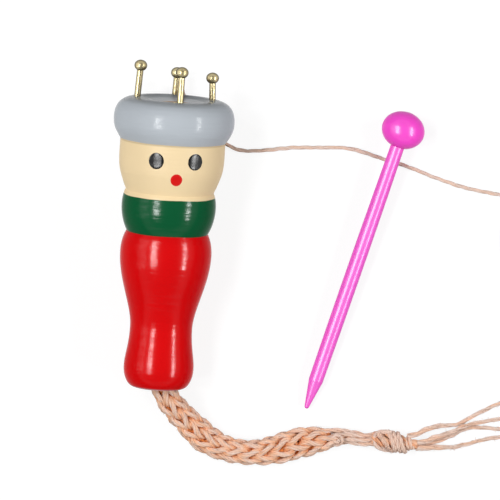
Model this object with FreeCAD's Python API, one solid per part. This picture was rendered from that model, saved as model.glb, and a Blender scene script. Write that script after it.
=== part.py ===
import FreeCAD, Part

import math
import os

from FreeCAD import Placement, Rotation, Vector

# A knitting nancy: a turned and painted wooden doll with four brass pins round its bore, lying on its back
# with the cord knitted on it coming out of the base, and its pick lying beside it.
# Millimetres. The doll lies along +Y with its head at +Y and its face up, and the table is z = 0.

# The turned body, measured along its own axis from the flat base.
BODY_HEIGHT = 99.5
BASE_FLAT_RADIUS = 8.2
BASE_BULGE_RADIUS = 12.0
BASE_BULGE_AT = 6.9
WAIST_RADIUS = 10.65
WAIST_AT = 20.6
DRESS_RADIUS = 15.65
DRESS_AT = 46.1
DRESS_SHOULDER = 3.6
DRESS_END_FLARE = 0.9
DRESS_END_RUN = 1.8
SCARF_GROOVE_RADIUS = 13.95
SCARF_GROOVE_AT = 53.7
SCARF_RADIUS = 16.1
SCARF_AT = 62.4
NECK_GROOVE_RADIUS = 15.0
NECK_GROOVE_AT = 67.8
CHEEK_RADIUS = 17.45
CHEEK_AT = 74.6
BROW_RADIUS = 17.9
BROW_AT = 85.0
HAT_RADIUS = 20.6
HAT_AT = 92.2
HAT_CREST_ROUNDING = 4.9
HAT_SIDE_ROUNDING = 4.9
CREST_RADIUS = 13.0
CREST_INNER_RADIUS = 12.3
DISH_INNER_RADIUS = 6.9
DISH_DEPTH = 1.5
BORE_RADIUS = 6.25
BORE_MOUTH_CHAMFER = 1.2

# The pins: brass nails with ball heads, driven in round the crest of the hat.
NAIL_LENGTH = 25.0
NAIL_RADIUS = 1.1
NAIL_POINT = 2.6
NAIL_HEAD_RADIUS = 2.2
NAIL_HEAD_HEIGHT = 3.9
NAIL_CIRCLE_RADIUS = 13.0
# Each has its place round the crest from the face side, in degrees, how far it stands out and its lean.
NAILS = {
    "peg_front": {"round": 8.0, "stands_out": 12.2, "lean": 0.3},
    "peg_right": {"round": 106.0, "stands_out": 9.3, "lean": -3.0},
    "peg_back": {"round": 181.8, "stands_out": 9.4, "lean": 2.4},
    "peg_left": {"round": 270.0, "stands_out": 12.5, "lean": 2.9},
}

# The pick: a turned rod with a cone point, and a flattened ball pushed on its other end.
PICK_LENGTH = 101.5
PICK_END_RADIUS = 2.4
PICK_MIDDLE_RADIUS = 2.65
PICK_CONE_RADIUS = 2.5
PICK_CONE_LENGTH = 10.3
PICK_TIP_RADIUS = 0.8
KNOB_HALF_WIDTH = 7.45
KNOB_HALF_LENGTH = 6.4
KNOB_SEAT_DEPTH = 0.5
SPIGOT_RADIUS = 1.6
SPIGOT_LENGTH = 5.0
SPIGOT_END_GAP = 0.3
PICK_KNOB_PLACE = (78.3, 93.1)
PICK_HEADING = 254.6

# The knitted cord, from its last row in the bore to the gathered end.
CORD_RADIUS = 4.7
CORD_TOP_AT = 88.5
CORD_SPLIT_AT = 8.0
CORD_IN_BORE_RIGHT = 1.0
CORD_IN_BORE_BACK = 0.8
CORD_ON_TABLE = 4.75
CORD_MOUTH_RUN = 9.6
CORD_ROUTE = [
    (9.8, -10.4, 6.9),
    (17.7, -17.6, 4.9),
    (27.5, -21.0, CORD_ON_TABLE),
    (38.4, -20.6, CORD_ON_TABLE),
    (47.6, -17.1, CORD_ON_TABLE),
    (56.3, -14.7, CORD_ON_TABLE),
]

# The gathered neck, the knot that closes it and the four yarn ends that leave the knot.
NECK_RADIUS = 2.4
NECK_SHOULDER_RADIUS = 3.9
NECK_SHOULDER = (59.6, -13.9, 4.4)
NECK_ROUTE = [
    (62.6, -13.4, 3.9),
    (67.2, -13.3, 3.1),
    (71.6, -14.1, 3.3),
    (75.8, -13.35, 4.0),
]
KNOT_START = (75.8, -13.35, 4.35)
KNOT_HEADING = -4.6
KNOT_WRAPS = 4
KNOT_WRAP_WIDTH = 2.45
KNOT_WRAP_RADIUS = 4.3
KNOT_VALLEY_RADIUS = 3.9
KNOT_MOUTH_RADIUS = 2.6
KNOT_COLLAR_RADIUS = 1.85
KNOT_COLLAR_LENGTH = 3.6

YARN_RADIUS = 0.7
YARN_ON_TABLE = 0.75
# Each end leaves the knot beside its axis, to the left and up from it, and then lies on the table.
TAILS = {
    "tail_1": {
        "from_shoulder": True,
        "left": 2.6,
        "up": 0.3,
        "route": [
            (89.0, -11.6, 4.3),
            (93.6, -8.7, 2.9),
            (98.2, -7.4, 1.3),
            (103.8, -7.2, YARN_ON_TABLE),
            (108.9, -3.5, YARN_ON_TABLE),
            (115.6, 0.5, YARN_ON_TABLE),
            (123.0, 3.6, YARN_ON_TABLE),
            (130.0, 5.7, YARN_ON_TABLE),
        ],
    },
    "tail_2": {
        "from_shoulder": False,
        "left": 0.8,
        "up": 0.75,
        "route": [
            (92.8, -13.5, 4.7),
            (96.8, -11.3, 3.3),
            (101.4, -9.8, 2.4),
            (106.2, -7.0, 2.4),
            (112.0, -5.4, 1.3),
            (118.0, -3.8, YARN_ON_TABLE),
            (124.4, -2.7, YARN_ON_TABLE),
            (130.6, -0.9, YARN_ON_TABLE),
        ],
    },
    "tail_3": {
        "from_shoulder": False,
        "left": 0.1,
        "up": -1.1,
        "route": [
            (92.8, -14.5, 2.7),
            (97.2, -12.6, 1.5),
            (101.8, -11.0, YARN_ON_TABLE),
            (106.8, -7.7, YARN_ON_TABLE),
            (112.6, -7.2, YARN_ON_TABLE),
            (118.6, -7.6, YARN_ON_TABLE),
            (124.8, -7.0, YARN_ON_TABLE),
            (131.0, -5.4, YARN_ON_TABLE),
        ],
    },
    "tail_4": {
        "from_shoulder": False,
        "left": -1.05,
        "up": 0.3,
        "route": [
            (92.8, -15.6, 4.2),
            (97.4, -14.8, 2.5),
            (102.4, -15.0, 0.9),
            (107.8, -13.2, YARN_ON_TABLE),
            (114.6, -10.9, YARN_ON_TABLE),
            (122.4, -9.4, YARN_ON_TABLE),
            (129.6, -9.6, YARN_ON_TABLE),
        ],
    },
}

# The working yarn: up out of the bore, over the back of the crest, under the hat and away to the right.
# The first points are places on the doll: right of its axis, in front of it and along it.
YARN_START_RIGHT = 1.3
YARN_START_BACK = 4.3
YARN_OVER_CREST = [
    (1.5, -4.2, 93.6),
    (1.8, -5.2, 98.8),
    (2.0, -9.0, 100.2),
    (2.05, -14.3, 101.2),
    (2.2, -19.6, 98.6),
]
YARN_ROUTE = [
    (7.0, 97.6, YARN_ON_TABLE),
    (11.4, 91.6, YARN_ON_TABLE),
    (15.6, 85.6, YARN_ON_TABLE),
    (22.6, 82.1, YARN_ON_TABLE),
    (30.6, 82.8, YARN_ON_TABLE),
    (40.0, 84.6, YARN_ON_TABLE),
    (50.5, 85.2, YARN_ON_TABLE),
    (60.6, 85.9, YARN_ON_TABLE),
    (70.6, 83.1, YARN_ON_TABLE),
    (81.0, 80.7, YARN_ON_TABLE),
    (91.0, 77.2, YARN_ON_TABLE),
    (100.6, 74.6, YARN_ON_TABLE),
    (112.0, 73.1, YARN_ON_TABLE),
    (122.4, 72.2, YARN_ON_TABLE),
]

# The rest of the yarn, wound into a flat coil beside the last of the stretch.
COIL_CENTRE = (134.0, 58.25)
COIL_MIDDLE_RADIUS = 8.4
COIL_LAYERS = 4
COIL_LOOPS = 6
COIL_PITCH = 1.86


def save(name, shape):
    """Writes one piece and prints its volume."""
    shape.exportStep("parts/" + name + ".step")
    print(name, "solids", len(shape.Solids), "valid", shape.isValid(), "volume", round(shape.Volume, 1))


def curve(start, start_handle, end_handle, end):
    """A smooth stretch of a turned outline, from points given as (radius, place along the axis)."""
    bezier = Part.BezierCurve()
    bezier.setPoles([Vector(r, 0, w) for r, w in (start, start_handle, end_handle, end)])
    return bezier.toShape()


def line(start, end):
    """A straight stretch of a turned outline."""
    return Part.LineSegment(Vector(start[0], 0, start[1]), Vector(end[0], 0, end[1])).toShape()


def flat_curve(start, end, start_share, end_share):
    """An outline stretch that runs along the axis at both ends."""
    length = end[1] - start[1]
    return curve(start, (start[0], start[1] + start_share * length), (end[0], end[1] - end_share * length), end)


def oval(half_width, half_length, middle, start, end):
    """A stretch of an oval outline of up to a quarter turn, between angles from its widest place."""
    reach = 4 / 3 * math.tan((end - start) / 4)

    def at(angle, along):
        return (
            half_width * (math.cos(angle) - along * math.sin(angle)),
            middle + half_length * (math.sin(angle) + along * math.cos(angle)),
        )

    return curve(at(start, 0), at(start, reach), at(end, -reach), at(end, 0))


def turned(edges):
    """The solid that an outline in the XZ plane makes when it is turned about Z."""
    return Part.Face(Part.Wire(edges)).revolve(Vector(0, 0, 0), Vector(0, 0, 1), 360)


def body_outline():
    """The outline of the doll, from the bore at the base round the outside to the bore again."""
    base_corner = (BASE_FLAT_RADIUS, 0.0)
    bulge = (BASE_BULGE_RADIUS, BASE_BULGE_AT)
    waist = (WAIST_RADIUS, WAIST_AT)
    dress = (DRESS_RADIUS, DRESS_AT)
    scarf_groove = (SCARF_GROOVE_RADIUS, SCARF_GROOVE_AT)
    scarf = (SCARF_RADIUS, SCARF_AT)
    neck_groove = (NECK_GROOVE_RADIUS, NECK_GROOVE_AT)
    cheek = (CHEEK_RADIUS, CHEEK_AT)
    brow = (BROW_RADIUS, BROW_AT)
    hat = (HAT_RADIUS, HAT_AT)
    crest = (CREST_RADIUS, BODY_HEIGHT)
    crest_inner = (CREST_INNER_RADIUS, BODY_HEIGHT)
    dish_inner = (DISH_INNER_RADIUS, BODY_HEIGHT - DISH_DEPTH)
    bore_top = (BORE_RADIUS, BODY_HEIGHT - DISH_DEPTH - (DISH_INNER_RADIUS - BORE_RADIUS))
    bore_bottom = (BORE_RADIUS, BORE_MOUTH_CHAMFER)
    mouth = (BORE_RADIUS + BORE_MOUTH_CHAMFER, 0.0)
    return [
        line(mouth, base_corner),
        curve(base_corner, (BASE_FLAT_RADIUS + 2.3, 0.0), (BASE_BULGE_RADIUS, 0.5 * BASE_BULGE_AT), bulge),
        flat_curve(bulge, waist, 0.3, 0.5),
        flat_curve(waist, dress, 0.28, 0.38),
        curve(
            dress,
            (DRESS_RADIUS, DRESS_AT + DRESS_SHOULDER),
            (SCARF_GROOVE_RADIUS + DRESS_END_FLARE, SCARF_GROOVE_AT - DRESS_END_RUN),
            scarf_groove,
        ),
        curve(scarf_groove, (SCARF_GROOVE_RADIUS + 1.2, SCARF_GROOVE_AT + 2.2), (SCARF_RADIUS, SCARF_AT - 3.4), scarf),
        curve(scarf, (SCARF_RADIUS, SCARF_AT + 2.6), (NECK_GROOVE_RADIUS + 0.6, NECK_GROOVE_AT - 0.9), neck_groove),
        curve(neck_groove, (NECK_GROOVE_RADIUS + 0.9, NECK_GROOVE_AT + 2.0), (CHEEK_RADIUS - 0.5, CHEEK_AT - 2.0), cheek),
        curve(cheek, (CHEEK_RADIUS + 0.7, CHEEK_AT + 2.8), (BROW_RADIUS, BROW_AT - 3.5), brow),
        curve(brow, (BROW_RADIUS + 1.4, BROW_AT + 2.4), (HAT_RADIUS, HAT_AT - 3.6), hat),
        curve(
            hat,
            (HAT_RADIUS, HAT_AT + HAT_SIDE_ROUNDING),
            (CREST_RADIUS + HAT_CREST_ROUNDING, BODY_HEIGHT),
            crest,
        ),
        line(crest, crest_inner),
        line(crest_inner, dish_inner),
        line(dish_inner, bore_top),
        line(bore_top, bore_bottom),
        line(bore_bottom, mouth),
    ]


def lying_tilt(edges):
    """The tilt and the height of the doll's axis when the base bulge and the hat both lie on the table."""
    points = []
    for edge in edges:
        points += edge.discretize(Number=40)
    slope = 0.0
    for _ in range(6):
        low = max((p for p in points if p.z < WAIST_AT), key=lambda p: p.x - slope * p.z)
        high = max((p for p in points if p.z > BROW_AT), key=lambda p: p.x - slope * p.z)
        slope = (high.x - low.x) / (high.z - low.z)
    tilt = math.atan(slope)
    height = low.x * math.cos(tilt) - low.z * math.sin(tilt)
    return tilt, height


def nail(stands_out):
    """A nail with its point down the axis, its ball head up and the wood's surface at z = 0."""
    buried = NAIL_LENGTH - stands_out
    head_half = NAIL_HEAD_HEIGHT / 2
    middle = stands_out - head_half
    at_shank = math.acos(NAIL_RADIUS / NAIL_HEAD_RADIUS)
    under_head = middle - head_half * math.sin(at_shank)
    return turned([
        line((0, -buried), (NAIL_RADIUS, -buried + NAIL_POINT)),
        line((NAIL_RADIUS, -buried + NAIL_POINT), (NAIL_RADIUS, under_head)),
        oval(NAIL_HEAD_RADIUS, head_half, middle, -at_shank, 0),
        oval(NAIL_HEAD_RADIUS, head_half, middle, 0, math.pi / 2),
        line((0, stands_out), (0, -buried)),
    ])


def nails_on_body():
    """The four nails in the doll's own frame."""
    placed = {}
    for name, seat in NAILS.items():
        angle = math.radians(seat["round"])
        foot = Vector(NAIL_CIRCLE_RADIUS * math.sin(angle), -NAIL_CIRCLE_RADIUS * math.cos(angle), BODY_HEIGHT)
        piece = nail(seat["stands_out"])
        piece.Placement = Placement(foot, Rotation(Vector(0, 1, 0), seat["lean"]))
        placed[name] = piece
    return placed


def knob():
    """The pick's ball, its middle at the origin and the rod leaving along +Z."""
    ball = turned([
        oval(KNOB_HALF_WIDTH, KNOB_HALF_LENGTH, 0, -math.pi / 2, 0),
        oval(KNOB_HALF_WIDTH, KNOB_HALF_LENGTH, 0, 0, math.pi / 2),
        line((0, KNOB_HALF_LENGTH), (0, -KNOB_HALF_LENGTH)),
    ])
    seat_at = KNOB_HALF_LENGTH - KNOB_SEAT_DEPTH
    seat = Part.makeCylinder(PICK_END_RADIUS, 2 * KNOB_SEAT_DEPTH, Vector(0, 0, seat_at))
    depth = SPIGOT_LENGTH + SPIGOT_END_GAP
    socket = Part.makeCylinder(SPIGOT_RADIUS, depth, Vector(0, 0, seat_at - depth))
    return ball.cut(seat).cut(socket)


def rod():
    """The pick's rod with its spigot and its cone point, in the knob's frame."""
    seat_at = KNOB_HALF_LENGTH - KNOB_SEAT_DEPTH
    cone_at = PICK_LENGTH - PICK_CONE_LENGTH
    middle_at = (seat_at + cone_at) / 2
    swell = Part.Arc(
        Vector(PICK_END_RADIUS, 0, seat_at),
        Vector(PICK_MIDDLE_RADIUS, 0, middle_at),
        Vector(PICK_CONE_RADIUS, 0, cone_at),
    ).toShape()
    ball_at = PICK_LENGTH - PICK_TIP_RADIUS
    reach = ball_at - cone_at
    slope = math.acos(PICK_TIP_RADIUS / math.hypot(PICK_CONE_RADIUS, reach)) - math.atan2(reach, PICK_CONE_RADIUS)
    touch = (PICK_TIP_RADIUS * math.cos(slope), ball_at + PICK_TIP_RADIUS * math.sin(slope))
    half = (math.pi / 2 - slope) / 2
    on_tip = Vector(PICK_TIP_RADIUS * math.sin(half), 0, ball_at + PICK_TIP_RADIUS * math.cos(half))
    tip = Part.Arc(Vector(touch[0], 0, touch[1]), on_tip, Vector(0, 0, PICK_LENGTH)).toShape()
    return turned([
        line((0, seat_at - SPIGOT_LENGTH), (SPIGOT_RADIUS, seat_at - SPIGOT_LENGTH)),
        line((SPIGOT_RADIUS, seat_at - SPIGOT_LENGTH), (SPIGOT_RADIUS, seat_at)),
        line((SPIGOT_RADIUS, seat_at), (PICK_END_RADIUS, seat_at)),
        swell,
        line((PICK_CONE_RADIUS, cone_at), touch),
        tip,
        line((0, PICK_LENGTH), (0, seat_at - SPIGOT_LENGTH)),
    ])


def pick_placement():
    """The pick lies on its knob and on the shoulder of its cone, so its rod slopes down to the tip."""
    reach = PICK_LENGTH - PICK_CONE_LENGTH
    dip = 0.0
    for _ in range(8):
        height = math.hypot(KNOB_HALF_WIDTH * math.cos(dip), KNOB_HALF_LENGTH * math.sin(dip))
        dip = math.asin((height - PICK_CONE_RADIUS * math.cos(dip)) / reach)
    down = Rotation(Vector(0, 1, 0), 90 + math.degrees(dip))
    heading = Rotation(Vector(0, 0, 1), PICK_HEADING)
    return Placement(Vector(PICK_KNOB_PLACE[0], PICK_KNOB_PLACE[1], height), heading.multiply(down))


def route_edges(points, name, radius):
    """Straight runs joined by arcs as large as the runs allow, with the arcs' radii printed."""
    edges = []
    radii = []
    length = 0.0
    here = points[0]
    for before, corner, after in zip(points, points[1:], points[2:]):
        to_corner = (corner - before).normalize()
        from_corner = (after - corner).normalize()
        turn = to_corner.getAngle(from_corner)
        share = 0.45 * min((corner - before).Length, (after - corner).Length)
        arc_start = corner - to_corner * share
        arc_end = corner + from_corner * share
        bisector = (from_corner - to_corner).normalize()
        bend = share / math.tan(turn / 2)
        to_centre = bend / math.cos(turn / 2)
        arc_middle = corner + bisector * (to_centre - bend)
        edges.append(Part.LineSegment(here, arc_start).toShape())
        edges.append(Part.Arc(arc_start, arc_middle, arc_end).toShape())
        length += (arc_start - here).Length + bend * turn
        radii.append(round(bend / (2 * radius), 1))
        here = arc_end
    edges.append(Part.LineSegment(here, points[-1]).toShape())
    length += (points[-1] - here).Length
    print(name, "length", round(length, 1), "arc radii in diameters", radii)
    return edges, length


def tube(edges, radius, start, direction):
    """A round tube along a chain of edges that join smoothly."""
    section = Part.Wire(Part.makeCircle(radius, start, direction))
    return Part.Wire(edges).makePipeShell([section], True, False)


def cord_tube(name, points, radius):
    """The tube of a free stretch of cord, checked against its section times its length."""
    points = [Vector(p) for p in points]
    edges, length = route_edges(points, name, radius)
    shape = tube(edges, radius, points[0], points[1] - points[0])
    print(name, "volume over section times length", round(shape.Volume / (math.pi * radius**2 * length), 4))
    return shape


def neck():
    """The gathered end of the cord: it narrows from the knitting to a bundle of yarn."""
    wide = Vector(CORD_ROUTE[-1])
    before = Vector(CORD_ROUTE[-2])
    shoulder = Vector(NECK_SHOULDER)
    narrow = Vector(NECK_ROUTE[0])
    onward = Vector(NECK_ROUTE[1])
    rings = [
        Part.Wire(Part.makeCircle(CORD_RADIUS, wide, wide - before)),
        Part.Wire(Part.makeCircle(NECK_SHOULDER_RADIUS, shoulder, narrow - wide)),
        Part.Wire(Part.makeCircle(NECK_RADIUS, narrow, onward - narrow)),
    ]
    gather = Part.makeLoft(rings, True, False)
    return gather.fuse(cord_tube("cord_neck", NECK_ROUTE, NECK_RADIUS)).removeSplitter()


def knot_axis():
    """The knot's frame: its start, and +Z along it."""
    heading = Rotation(Vector(0, 0, 1), KNOT_HEADING)
    return Placement(Vector(KNOT_START), heading.multiply(Rotation(Vector(0, 1, 0), 90)))


def knot():
    """The knot: wraps of yarn side by side round the neck, and a short collar where the ends leave."""
    edges = [line((0, 0), (KNOT_MOUTH_RADIUS, 0)), line((KNOT_MOUTH_RADIUS, 0), (KNOT_VALLEY_RADIUS, 0.9))]
    for wrap in range(KNOT_WRAPS):
        start = 0.9 + wrap * KNOT_WRAP_WIDTH
        end = start + KNOT_WRAP_WIDTH
        edges.append(Part.Arc(
            Vector(KNOT_VALLEY_RADIUS, 0, start),
            Vector(KNOT_WRAP_RADIUS, 0, (start + end) / 2),
            Vector(KNOT_VALLEY_RADIUS, 0, end),
        ).toShape())
    shoulder = 0.9 + KNOT_WRAPS * KNOT_WRAP_WIDTH
    finish = shoulder + KNOT_COLLAR_LENGTH
    edges.append(line((KNOT_VALLEY_RADIUS, shoulder), (KNOT_COLLAR_RADIUS, shoulder)))
    edges.append(line((KNOT_COLLAR_RADIUS, shoulder), (KNOT_COLLAR_RADIUS, finish)))
    edges.append(line((KNOT_COLLAR_RADIUS, finish), (0, finish)))
    edges.append(line((0, finish), (0, 0)))
    return turned(edges), shoulder, finish


def biarc(start, start_way, end, end_way):
    """Two arcs that leave the start and reach the end in the given directions."""
    chord = end - start
    both = start_way + end_way
    closeness = 2 * (1 - start_way.dot(end_way))
    along = chord.dot(both)
    reach = (-along + math.sqrt(along * along + closeness * chord.dot(chord))) / closeness
    middle = (start + start_way * reach + end - end_way * reach) * 0.5
    arcs = []
    for first, way, last in ((start, start_way, middle), (end, end_way * -1, middle)):
        span = last - first
        across = way - span * (way.dot(span) / span.dot(span))
        bulge = across.normalize() * (span.Length / 2 * math.tan(way.getAngle(span) / 2))
        arcs.append((first, (first + last) * 0.5 + bulge, last))
    second = arcs[1]
    return [Part.Arc(*arcs[0]).toShape(), Part.Arc(second[2], second[1], second[0]).toShape()]


def coil():
    """The put-away yarn: it spirals in and out again, a layer up each time, and prints its least gap."""
    outer = COIL_MIDDLE_RADIUS + COIL_LOOPS * COIL_PITCH / 2
    quarters = 4 * COIL_LOOPS
    total = quarters * COIL_LAYERS

    def place(turned_by):
        layer = min(int(turned_by // quarters), COIL_LAYERS - 1)
        share = turned_by / quarters - layer
        inward = share if layer % 2 == 0 else 1 - share
        radius = outer - COIL_LOOPS * COIL_PITCH * inward
        height = YARN_ON_TABLE + layer * COIL_PITCH
        nearest = round(turned_by / quarters)
        offset = turned_by - nearest * quarters
        if 0 < nearest < COIL_LAYERS and abs(offset) < 1:
            height = YARN_ON_TABLE + (nearest - 0.5 + 0.5 * math.sin(offset * math.pi / 2)) * COIL_PITCH
        angle = turned_by * math.pi / 2
        return radius, height, Vector(
            COIL_CENTRE[0] + radius * math.sin(angle), COIL_CENTRE[1] + radius * math.cos(angle), height
        )

    def way(turned_by):
        radius = place(turned_by)[0]
        angle = turned_by * math.pi / 2
        around = Vector(math.cos(angle), -math.sin(angle), 0) * radius
        outward = Vector(math.sin(angle), math.cos(angle), 0)
        layer = turned_by // quarters
        if turned_by % quarters:
            around += outward * (COIL_PITCH / (2 * math.pi) * (-1 if layer % 2 == 0 else 1))
        elif 0 < turned_by < total:
            around += Vector(0, 0, COIL_PITCH / 2)
        return around.normalize()

    first = place(0)[2]
    last = place(total)[2]
    straight = Vector(2 * YARN_RADIUS, 0, 0)
    edges = [Part.LineSegment(first - straight, first).toShape()]
    for quarter in range(total):
        edges += biarc(place(quarter)[2], way(quarter), place(quarter + 1)[2], way(quarter + 1))
    edges.append(Part.LineSegment(last, last + straight).toShape())
    least = coil_gap(edges)
    length = sum(edge.Length for edge in edges)
    shape = tube(edges, YARN_RADIUS, first - straight, straight)
    print("yarn_coil length", round(length, 1), "least gap to itself", round(least, 3))
    print("yarn_coil volume over section times length", round(shape.Volume / (math.pi * YARN_RADIUS**2 * length), 4))
    return shape, first - straight, length


def coil_gap(edges):
    """The least clear distance between stretches of the coil that lie over two yarn widths apart along it."""
    places = []
    along = 0.0
    for edge in edges:
        steps = max(2, int(edge.Length / 0.5))
        for point in edge.discretize(Number=steps)[:-1]:
            places.append((along, point))
            along += edge.Length / (steps - 1)
    least = 1000.0
    cells = {}
    for along, point in places:
        cells.setdefault((int(point.x // 3), int(point.y // 3), int(point.z // 3)), []).append((along, point))
    for (i, j, k), inside in cells.items():
        near = []
        for a in (i - 1, i, i + 1):
            for b in (j - 1, j, j + 1):
                for c in (k - 1, k, k + 1):
                    near += cells.get((a, b, c), [])
        for along, point in inside:
            for other_along, other in near:
                if other_along - along > 7:
                    least = min(least, point.distanceToPoint(other))
    return least - 2 * YARN_RADIUS


def main():
    os.makedirs("parts", exist_ok=True)
    outline = body_outline()
    tilt, base_height = lying_tilt(outline)
    print("axis tilt", round(math.degrees(tilt), 3), "base centre height", round(base_height, 3))
    doll = Placement(Vector(0, 0, base_height), Rotation(Vector(1, 0, 0), math.degrees(tilt) - 90))

    def on_doll(right, front, along):
        return doll.multVec(Vector(right, -front, along))

    parts = {}
    nails = nails_on_body()
    body = turned(outline)
    for piece in nails.values():
        body = body.cut(piece)
    parts["spool_body"] = body
    parts.update(nails)
    for piece in parts.values():
        piece.Placement = doll.multiply(piece.Placement)

    pick_place = pick_placement()
    parts["pick_shaft"] = rod()
    parts["pick_knob"] = knob()
    for name in ("pick_shaft", "pick_knob"):
        parts[name].Placement = pick_place
    rigid = list(parts.values())

    split = on_doll(CORD_IN_BORE_RIGHT, -CORD_IN_BORE_BACK, CORD_SPLIT_AT)
    top = on_doll(CORD_IN_BORE_RIGHT, -CORD_IN_BORE_BACK, CORD_TOP_AT)
    mouth = split + (split - top).normalize() * CORD_MOUTH_RUN
    parts["cord_in_bore"] = Part.makeCylinder(CORD_RADIUS, (top - split).Length, split, top - split)
    parts["knitted_cord"] = cord_tube("knitted_cord", [split, mouth] + CORD_ROUTE, CORD_RADIUS)
    parts["cord_neck"] = neck()

    axis = knot_axis()
    parts["cord_knot"], shoulder, finish = knot()
    parts["cord_knot"].Placement = axis
    for name, tail in TAILS.items():
        leaves = shoulder if tail["from_shoulder"] else finish
        start = axis.multVec(Vector(-tail["up"], tail["left"], leaves))
        parts[name] = cord_tube(name, [start] + tail["route"], YARN_RADIUS)
        print(name, "starts at", [round(v, 2) for v in start])

    parts["yarn_coil"], coil_start, coil_length = coil()
    yarn_start = on_doll(YARN_START_RIGHT, -YARN_START_BACK, CORD_TOP_AT)
    over = [on_doll(*place) for place in YARN_OVER_CREST]
    parts["supply_yarn"] = cord_tube("supply_yarn", [yarn_start] + over + YARN_ROUTE + [coil_start], YARN_RADIUS)
    for place in [split, mouth, yarn_start] + over:
        print("point on the doll", [round(v, 2) for v in place])

    boxes = [piece.optimalBoundingBox(False, False) for piece in rigid]
    middle_x = (min(b.XMin for b in boxes) + max(b.XMax for b in boxes)) / 2
    middle_y = (min(b.YMin for b in boxes) + max(b.YMax for b in boxes)) / 2
    low_z = min(b.ZMin for b in boxes)
    print("origin", round(middle_x, 4), round(middle_y, 4), round(low_z, 4))
    shift = Placement(Vector(-middle_x, -middle_y, -low_z), Rotation())
    for name, piece in parts.items():
        piece.Placement = shift.multiply(piece.Placement)
        save(name, piece)
    print("yarn in the coil", round(coil_length, 1))


main()
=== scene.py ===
"""The looks of a knitting nancy: a painted wooden doll spool on its back with brass nails round its hat,
the knitted cord that comes out of it with its gathered neck, knot and four yarn ends, the working yarn
and its put-away coil, and a plastic pick. Lengths are metres unless a name ends in _MM or the heading over
it says millimetres.
"""

import math

import bpy
import numpy as np
from mathutils import Matrix, Vector


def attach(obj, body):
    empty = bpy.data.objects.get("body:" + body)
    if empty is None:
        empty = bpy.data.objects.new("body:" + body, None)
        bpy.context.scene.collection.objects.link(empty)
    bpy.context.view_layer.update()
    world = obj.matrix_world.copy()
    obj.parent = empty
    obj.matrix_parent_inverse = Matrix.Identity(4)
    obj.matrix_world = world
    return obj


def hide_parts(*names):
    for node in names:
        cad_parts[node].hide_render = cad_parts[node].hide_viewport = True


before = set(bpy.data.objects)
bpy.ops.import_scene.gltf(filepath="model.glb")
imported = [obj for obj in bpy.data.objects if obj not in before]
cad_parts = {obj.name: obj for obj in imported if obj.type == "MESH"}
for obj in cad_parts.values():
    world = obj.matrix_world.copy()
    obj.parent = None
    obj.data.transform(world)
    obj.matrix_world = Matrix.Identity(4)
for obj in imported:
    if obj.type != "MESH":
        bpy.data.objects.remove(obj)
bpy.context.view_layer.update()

MM = 0.001

# Where the doll lies: the middle of its base, and its tilt up towards the head
BASE_MIDDLE_MM = (-32.541, -53.397, 11.307)
DOLL_TILT = math.radians(5.761)
ALONG = Vector((0, math.cos(DOLL_TILT), math.sin(DOLL_TILT)))
FRONT = Vector((0, -math.sin(DOLL_TILT), math.cos(DOLL_TILT)))
RIGHT = Vector((1, 0, 0))

# Along the doll from its base: the turned creases, the places where the paint changes, and the crest
CREASES = (53.7 * MM, 85.0 * MM)
DRESS_TO_SCARF = 53.7 * MM
SCARF_TO_FACE = 66.3 * MM
FACE_TO_HAT = 85.3 * MM
CREST_STARTS = 98.0 * MM

# Out from the doll's axis: how far the painted pool of light in the dish reaches, and how far the wood is
# bare
DISH_PAINTED_LIGHT_RADIUS = 9.0 * MM
BARE_WOOD_RADIUS = 6.6 * MM

# The face: turned a little to the doll's right, with places along the doll and sizes of its dots
LEFT_EYE = {"turn": -16.0, "along": 79.75 * MM, "radius": 2.92 * MM}
RIGHT_EYE = {"turn": 27.6, "along": 80.0 * MM, "radius": 2.94 * MM}
RED_DOT = {"turn": 7.6, "along": 73.6 * MM, "radius": 2.2 * MM}
DOT_RISE = 0.10 * MM
DOT_RIM_SINK = 0.03 * MM
DOT_FLATNESS = 8
DOT_WIDTH_SHARE = 0.95
DOT_RINGS = 10
DOT_SPOKES = 48
SKIN_SEARCH = 40 * MM

# The camera, two metres above the table and tipped towards the doll's head
CAMERA_AIM_MM = (-3.93, -4.39, 16.0)
CAMERA_DISTANCE = 2.0
CAMERA_TIP = math.radians(1.9)
CAMERA_TURN = math.radians(3.72)
CAMERA_LENS_MM = 422.0
CAMERA_SENSOR_MM = 36.0
CAMERA_CLIP = (0.05, 50.0)

# The lamps, in rows that lean across the doll, with the power and the width of the lamps in each row.
# A row reaches the same angle to the head and to the base, and is shifted a little to the head.
LAMP_ROWS = (
    {"lean": -68.0, "power": 0.65, "across": 0.80},
    {"lean": -29.0, "power": 2.65, "across": 0.30},
    {"lean": 51.0, "power": 2.1, "across": 0.18},
)
LAMPS_IN_ROW = 4
LAMP_REACH = 19.5
LAMP_SHIFT = 1.5
LAMP_DISTANCE = 1.2
LAMP_ALONG = 0.07
LAMPS_AIM_ALONG = 60 * MM

# The room: how strongly its walls and its ceiling light the object, and from which height it is ceiling
WALL_LIGHT = 0.16
CEILING_LIGHT = 0.09
CEILING_STARTS = 0.45
CEILING_BLEND = 0.2

# The table: its half width, how far it lies under the object, its glow, and its greys as a lamp's light
# bounces off it to the object and as it shows
TABLE_HALF = 4.0
TABLE_DROP = 0.05 * MM
TABLE_GLOW = 0.84
TABLE_BOUNCE_GREY = 0.28
TABLE_SHOWN_GREY = 0.20
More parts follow.
